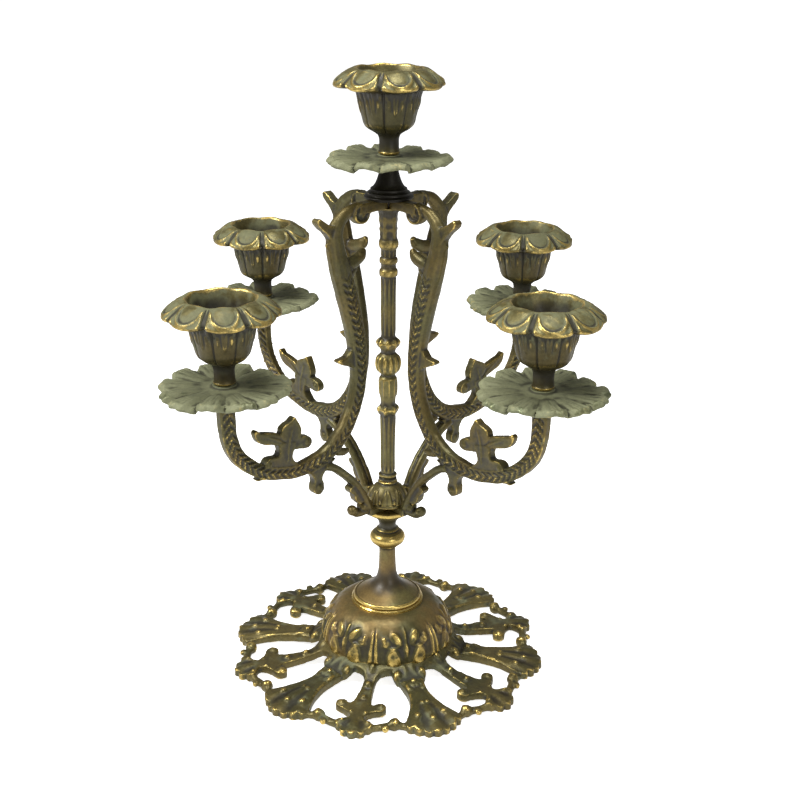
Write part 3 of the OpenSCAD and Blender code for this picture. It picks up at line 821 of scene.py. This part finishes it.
def petals(place, facing):
    """The rim drawn out into eight broad petals."""
    r, angle = polar(place)
    u = share_of(angle, CUP_PETALS)
    side = np.abs(u) * 2
    out = np.clip((r - CREST_R) / (TIP_R - CREST_R), 0, 1.05)
    tip = -0.5 * side ** 2 - 2.6 * side ** 7 + 0.25 * np.cos(u * TURN * 5) * fade(side, 0.5, 0.65)
    droop = -0.7 * (1 - side ** 2) + 0.9 * side ** 2
    crest = bump(r - 17, 1.6) * (place[:, 2] > 38)
    new = place.copy()
    pull = 1 + tip * out / np.maximum(r, 1)
    new[:, 0] *= pull
    new[:, 1] *= pull
    new[:, 2] += droop * out ** 2 + 0.3 * np.cos(u * TURN) * crest
    return new


def cup_relief(place, facing):
    """Swelling petals with thick rolled lips and flutes between, over a panelled body with hanging leaves."""
    r, angle = polar(place)
    z = place[:, 2]
    u = share_of(angle, CUP_PETALS)
    side = np.abs(u)
    out = (r - CREST_R) / (TIP_R - CREST_R)
    rim = (facing[:, 2] > 0.02) * (r > CREST_R - 0.4)
    around = np.hypot(u / 0.345, (out - 0.3) / 0.6)
    around = np.where(out > 0.3, around, side / 0.345)
    swell = 0.75 * np.clip(1 - around ** 2, 0, 1) ** 0.7 * fade(out, 0, 0.25)
    lip = (0.85 * bump(around - 1.06, 0.11) * fade(out, 0.1, 0.4)
           - 0.3 * bump(around - 0.88, 0.07) * fade(out, 0.3, 0.5))
    flutes = 0.5 * np.cos((side - 0.5) * TURN / 0.09) * fade(side, 0.38, 0.42) * fade(out, 0.02, 0.15)
    body = (np.abs(facing[:, 2]) < 0.9) * (facing[:, 0] * place[:, 0] + facing[:, 1] * place[:, 1] > 0)
    body = body * (z > 9.6) * (z < 32.4) * (r > 6)
    height = (z - 10) / 22
    seam = -0.8 * bump(side - 0.5, 0.04) * fade(z, 10.4, 12.4)
    belly = 0.5 * (1 - (2 * side) ** 2) * bump(height - 0.35, 0.45)
    width = 0.17 * np.clip((height - 0.46) / 0.54, 0, 1) ** 0.5
    tongue = 0.5 * (1 - fade(side - width, -0.02, 0.025)) * fade(height, 0.44, 0.56)
    curl = (0.6 * boss(side, height, (0.27, 0.7), (0.085, 0.12))
            + 0.5 * boss(side, height, (0.36, 0.92), (0.1, 0.14)))
    rib = (-0.35 * bump(side, 0.03) * fade(height, 0.5, 0.6)
           - 0.3 * bump(side - 0.13, 0.02) * fade(height, 0.5, 0.6))
    return rim * (swell + lip + flutes) + body * (seam + belly + tongue + curl + rib)


def model_cup():
    candle_r = 11.0
    outline = [(0, 9), (STUD_BORE, 9), (STUD_BORE, 0), (5.1, 0), (5.5, 0.3)]
    outline += rounded([(5.55, 1), (5.2, 1.8), (5.05, 4), (5.1, 7.2), (5.5, 9), (6.6, 10.5), (8.3, 11.6),
                        (10.2, 12.7), (11.8, 14.1), (12.7, 15.8), (13.1, 17.4), (14, 21), (15.1, 26),
                        (16, 30), (17.2, 31.9), (20.4, 32.5), (24, 33), (26.6, 33.4), (27.8, 34),
                        (28.1, 34.8), (27.5, 35.7), (25.8, 37), (23.4, 38.7), (21, 40.3), (19, 41.5),
                        (17.6, 42.2), (16.6, 42.1), (16, 41.2)], 4)
    outline += rounded([(15.2, 38.8), (14.2, 34.8), (12.9, 30.6), (11.7, 27.8), (candle_r, 26.5)], 3)
    outline += [(candle_r, 20), (candle_r, 15.1), (10.6, 15), (0, 15)]
    cup = chased(bent(turned("cup", outline, 256, 50), petals), cup_relief)
    place, facing = surface_of(cup)
    r, _ = polar(place)
    rim = fade(r, CREST_R - 2, CREST_R) * fade(facing[:, 2], -0.1, 0.2) * (place[:, 2] > 32)
    inside = (facing[:, 0] * place[:, 0] + facing[:, 1] * place[:, 1] < 0) * fade(place[:, 2], 33, 40)
    mark(cup, "light", np.maximum(rim, 0.6 * inside))
    return cup


def make_cups():
    pattern = model_cup()
    cups = []
    for name in SEATS:
        seat = middle("candle_cup_" + name)
        seat.z = low("candle_cup_" + name).z
        cup = copied(pattern, "petal_cup_" + name, CUP_TURNS[name], seat)
        uneven(cup, 0.5, 8)
        mark_relief(cup, 36, 0.45)
        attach(cup, "cup_" + name)
        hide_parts("candle_cup_" + name)
        cups.append(cup)
    bpy.data.objects.remove(pattern)
    return cups


# ---- Patina and painted shade ----

def group_of(name, inputs, outputs):
    group = bpy.data.node_groups.new(name, "ShaderNodeTree")
    for label, kind, default in inputs:
        socket = group.interface.new_socket(label, in_out="INPUT", socket_type=kind)
        socket.default_value = default
    for label, kind in outputs:
        group.interface.new_socket(label, in_out="OUTPUT", socket_type=kind)
    return group


class Bench:
    """Short ways to place and wire nodes in one tree."""

    def __init__(self, tree):
        self.tree = tree

    def node(self, kind, **settings):
        made = self.tree.nodes.new(kind)
        for key, value in settings.items():
            setattr(made, key, value)
        return made

    def wire(self, source, target):
        if isinstance(source, bpy.types.NodeSocket):
            self.tree.links.new(source, target)
        else:
            target.default_value = source

    def noise(self, place, scale, detail=4, rough=0.6):
        made = self.node("ShaderNodeTexNoise")
        self.wire(place, made.inputs["Vector"])
        self.wire(scale, made.inputs["Scale"])
        made.inputs["Detail"].default_value = detail
        made.inputs["Roughness"].default_value = rough
        return made.outputs["Fac"]

    def math(self, operation, a, b=0.0, clamp=False):
        made = self.node("ShaderNodeMath", operation=operation, use_clamp=clamp)
        self.wire(a, made.inputs[0])
        self.wire(b, made.inputs[1])
        return made.outputs[0]

    def tuned(self, value, times, plus):
        """value * times + plus"""
        made = self.node("ShaderNodeMath", operation="MULTIPLY_ADD")
        for socket, given in zip(made.inputs, (value, times, plus)):
            self.wire(given, socket)
        return made.outputs[0]

    def shaded(self, colour, amount):
        """A colour made darker or lighter by a grey amount."""
        made = self.node("ShaderNodeMix", data_type="RGBA", blend_type="MULTIPLY")
        made.inputs["Factor"].default_value = 1
        self.wire(colour, made.inputs[6])
        self.wire(amount, made.inputs[7])
        return made.outputs[2]

    def step(self, value, start, end):
        """0 below start, 1 above end, smooth between."""
        made = self.node("ShaderNodeMapRange", interpolation_type="SMOOTHSTEP")
        self.wire(value, made.inputs["Value"])
        self.wire(start, made.inputs["From Min"])
        self.wire(end, made.inputs["From Max"])
        return made.outputs["Result"]

    def mix(self, share, a, b):
        made = self.node("ShaderNodeMix", data_type="RGBA")
        self.wire(share, made.inputs["Factor"])
        self.wire(a, made.inputs[6])
        self.wire(b, made.inputs[7])
        return made.outputs[2]

    def blend(self, share, a, b):
        made = self.node("ShaderNodeMix", data_type="FLOAT")
        self.wire(share, made.inputs["Factor"])
        self.wire(a, made.inputs[2])
        self.wire(b, made.inputs[3])
        return made.outputs[0]


def aged_metal():
    """Brass gone brown: bright where it is rubbed, dark in its hollows from grime and painted shade,
    grey-green where it bloomed.
    """
    group = group_of("aged_metal", [
        ("Bright", "NodeSocketColor", (0.55, 0.4, 0.12, 1)),
        ("Skin", "NodeSocketColor", (0.11, 0.082, 0.024, 1)),
        ("Skin 2", "NodeSocketColor", (0.083, 0.074, 0.026, 1)),
        ("Light skin", "NodeSocketColor", (0.12, 0.103, 0.036, 1)),
        # Hollow and the amount after Bloom paint shade, together with grime, into the sunk places.
        ("Hollow", "NodeSocketColor", (0.01, 0.0075, 0.003, 1)),
        ("Bloom", "NodeSocketColor", (0.14, 0.145, 0.072, 1)),
        ("Wear", "NodeSocketFloat", 0.38),
        ("Grime", "NodeSocketFloat", 0.55),
        ("Bloom amount", "NodeSocketFloat", 0.3),
    ], [("Colour", "NodeSocketColor"), ("Roughness", "NodeSocketFloat"), ("Metallic", "NodeSocketFloat"),
        ("Height", "NodeSocketFloat")])
    b = Bench(group)
    given = b.node("NodeGroupInput").outputs
    made = b.node("NodeGroupOutput").inputs
    place = b.node("ShaderNodeTexCoord").outputs["Object"]
    relief = b.node("ShaderNodeAttribute", attribute_name="relief").outputs["Fac"]
    light = b.node("ShaderNodeAttribute", attribute_name="light").outputs["Fac"]
    broad = b.noise(place, 28, 3)
    patch = b.noise(place, 110, 5)
    fine = b.noise(place, 700, 5, 0.7)
    speck = b.noise(place, 2200, 3, 0.7)
    skin = b.mix(b.step(broad, 0.4, 0.6), given["Skin"], given["Skin 2"])
    skin = b.mix(light, skin, given["Light skin"])
    skin = b.shaded(skin, b.tuned(fine, 1.2, 0.4))
    skin = b.shaded(skin, b.tuned(patch, 1.0, 0.5))
    ragged = b.tuned(patch, 1.1, -0.55)
    worn_at = b.math("ADD", b.math("ADD", relief, ragged), b.tuned(fine, 0.8, -0.4))
    worn = b.step(worn_at, b.math("SUBTRACT", 0.95, given["Wear"]), b.math("SUBTRACT", 1.5, given["Wear"]))
    # Painted shade with grime: sunk places take the dark Hollow colour, which stands in for the shade in
    # recesses as well as for dirt.
    sunk_at = b.math("SUBTRACT", b.math("MULTIPLY", ragged, 0.5), relief)
    sunk = b.step(sunk_at, b.math("SUBTRACT", 0.5, given["Grime"]), b.math("SUBTRACT", 1.3, given["Grime"]))
    green_at = b.math("ADD", b.noise(place, 75, 6, 0.65), b.math("MULTIPLY", relief, -0.1))
    green_at = b.tuned(light, 0.14, green_at)
    start = b.math("SUBTRACT", 0.76, b.math("MULTIPLY", given["Bloom amount"], 0.5))
    green = b.step(green_at, start, b.math("ADD", start, 0.16))
    bloom = b.shaded(given["Bloom"], b.tuned(fine, 0.9, 0.55))
    colour = b.mix(b.math("MULTIPLY", green, 0.85), skin, bloom)
    # Painted shade and grime: the Hollow colour is laid into the sunk places.
    colour = b.mix(b.math("MULTIPLY", sunk, 0.85), colour, given["Hollow"])
    colour = b.mix(worn, colour, given["Bright"])
    b.wire(colour, made["Colour"])
    dull = b.math("MULTIPLY", green, b.math("SUBTRACT", 1.0, worn))
    rough = b.blend(dull, b.blend(worn, 0.42, 0.27), 0.72)
    b.wire(b.math("ADD", rough, b.tuned(speck, 0.25, -0.125), clamp=True), made["Roughness"])
    metal = b.blend(sunk, b.blend(dull, b.blend(worn, 0.6, 0.95), 0.12), 0.15)
    b.wire(metal, made["Metallic"])
    b.wire(b.math("ADD", b.math("MULTIPLY", fine, 0.7), b.math("MULTIPLY", speck, 0.3)), made["Height"])
    return group


def finish(name, group, grain=0.00012, **values):
    """A material on the aged metal, with its own colours and amounts."""
    material = bpy.data.materials.new(name)
    material.use_nodes = True
    b = Bench(material.node_tree)
    shader = material.node_tree.nodes["Principled BSDF"]
    metal = b.node("ShaderNodeGroup", node_tree=group)
    for label, value in values.items():
        metal.inputs[label.replace("_", " ")].default_value = value
    b.wire(metal.outputs["Colour"], shader.inputs["Base Color"])
    b.wire(metal.outputs["Roughness"], shader.inputs["Roughness"])
    b.wire(metal.outputs["Metallic"], shader.inputs["Metallic"])
    relief = b.node("ShaderNodeBump")
    relief.inputs["Strength"].default_value = 0.6
    relief.inputs["Distance"].default_value = grain
    b.wire(metal.outputs["Height"], relief.inputs["Height"])
    b.wire(relief.outputs["Normal"], shader.inputs["Normal"])
    return material


def wear(material, *pieces):
    for piece in pieces:
        piece.data.materials.clear()
        piece.data.materials.append(material)


def wear_nodes(material, names):
    for name in names:
        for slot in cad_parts[name].material_slots:
            slot.material = material


# ---- Stage ----

def look_from():
    """The camera stands between two arms, a little above them, and looks down at the candelabra."""
    azimuth, pitch, roll, pan = (math.radians(a) for a in (46.64, 20.75, 0.44, -0.57))
    distance, height = 0.6521, 0.4025
    camera = bpy.data.objects.new("camera", bpy.data.cameras.new("camera"))
    bpy.context.scene.collection.objects.link(camera)
    camera.data.lens = 58.1
    camera.data.sensor_width = 36
    camera.location = (distance * math.sin(azimuth), -distance * math.cos(azimuth), height)
    turn = (Matrix.Rotation(azimuth + pan, 3, "Z") @ Matrix.Rotation(math.radians(90) - pitch, 3, "X")
            @ Matrix.Rotation(roll, 3, "Z"))
    camera.rotation_euler = turn.to_euler()
    bpy.context.scene.camera = camera


def lamp(name, place, aim, power, size):
    light = bpy.data.lights.new(name, "AREA")
    light.energy, light.size = power, size
    holder = bpy.data.objects.new(name, light)
    bpy.context.scene.collection.objects.link(holder)
    holder.location = place
    holder.rotation_euler = (Vector(aim) - Vector(place)).to_track_quat("-Z", "Y").to_euler()


def make_stage():
    clear_bench()
    bpy.ops.mesh.primitive_plane_add(size=16, location=(0, 0, 0))
    floor = bpy.context.object
    floor.name = "floor"
    paper = bpy.data.materials.new("paper")
    paper.use_nodes = True
    shader = paper.node_tree.nodes["Principled BSDF"]
    shader.inputs["Base Color"].default_value = (0.86, 0.86, 0.86, 1)
    shader.inputs["Roughness"].default_value = 0.9
    shader.inputs["Emission Color"].default_value = (1, 1, 1, 1)
    b = Bench(paper.node_tree)
    glow = b.tuned(b.node("ShaderNodeLightPath").outputs["Is Camera Ray"], 0.62, 0.22)
    b.wire(glow, shader.inputs["Emission Strength"])
    wear(paper, floor)
    world = bpy.data.worlds.new("room")
    bpy.context.scene.world = world
    world.use_nodes = True
    b = Bench(world.node_tree)
    room = world.node_tree.nodes["Background"]
    room.inputs["Color"].default_value = (1, 1, 1, 1)
    room.inputs["Strength"].default_value = 0.26
    backdrop = b.node("ShaderNodeBackground")
    backdrop.inputs["Color"].default_value = (1, 1, 1, 1)
    backdrop.inputs["Strength"].default_value = 0.98
    choice = b.node("ShaderNodeMixShader")
    b.wire(b.node("ShaderNodeLightPath").outputs["Is Camera Ray"], choice.inputs["Fac"])
    b.wire(room.outputs[0], choice.inputs[1])
    b.wire(backdrop.outputs[0], choice.inputs[2])
    b.wire(choice.outputs[0], world.node_tree.nodes["World Output"].inputs["Surface"])
    lamp("window", (-0.45, -1.0, 1.1), (0, 0, 0.15), 19, 0.4)
    lamp("ceiling", (0.1, -0.1, 1.4), (0, 0, 0.1), 14, 0.5)
    lamp("side", (1.2, -0.3, 0.6), (0, 0, 0.15), 4, 0.5)
    bpy.context.scene.view_settings.view_transform = "Standard"


def main():
    metal = aged_metal()
    foot_parts = make_foot()
    stem, bell, column, cap = make_stem(), make_bell(), make_column(), make_cap()
    arms, pans, cups = make_arms(), make_pans(), make_cups()
    copper, olive = (0.2, 0.135, 0.045, 1), (0.15, 0.13, 0.046, 1)
    wear(finish("foot_finish", metal, Bloom_amount=0.5, Skin=(0.14, 0.11, 0.036, 1)), foot_parts[0])
    wear(finish("dome_finish", metal, Wear=0.5, Skin=copper, Grime=0.5), foot_parts[1])
    wear(finish("stem_finish", metal, Wear=0.4, Skin=copper, Skin_2=olive), stem)
    wear(finish("column_finish", metal, Wear=0.28, Skin=(0.155, 0.118, 0.038, 1), Skin_2=olive), bell, column)
    # The stepped cap is painted near-black, with no rubbing and no bloom: painted shade under the top pan.
    wear(finish("cap_painted_shade", metal, Wear=-0.4, Skin=(0.012, 0.01, 0.006, 1), Skin_2=(0.018, 0.015, 0.009, 1),
                Bloom_amount=0), cap)
    wear(finish("arm_finish", metal), *arms)
    wear(finish("pan_finish", metal, Wear=-0.1, Grime=0.3, Bloom_amount=1.0, Bloom=(0.19, 0.195, 0.105, 1),
                Skin=(0.16, 0.165, 0.08, 1), Skin_2=(0.13, 0.145, 0.075, 1), Hollow=(0.03, 0.03, 0.014, 1)),
         *pans)
    dark_cup = {"Wear": 0.24, "Bloom": (0.115, 0.117, 0.054, 1), "Skin": (0.075, 0.058, 0.018, 1),
                "Skin_2": (0.062, 0.054, 0.02, 1)}
    wear(finish("cup_finish", metal, Bloom_amount=0.34, **dark_cup), cups[-1])
    wear(finish("green_cup_finish", metal, Bloom_amount=0.5, **dark_cup), *cups[:-1])
    steel = finish("rod_finish", metal, Skin=(0.12, 0.11, 0.1, 1), Skin_2=(0.09, 0.07, 0.05, 1))
    rods = ["tie_rod", "washer", "nut"] + ["arm_stud_" + n for n in ARMS]
    wear_nodes(steel, rods)


look_from()
make_stage()
main()
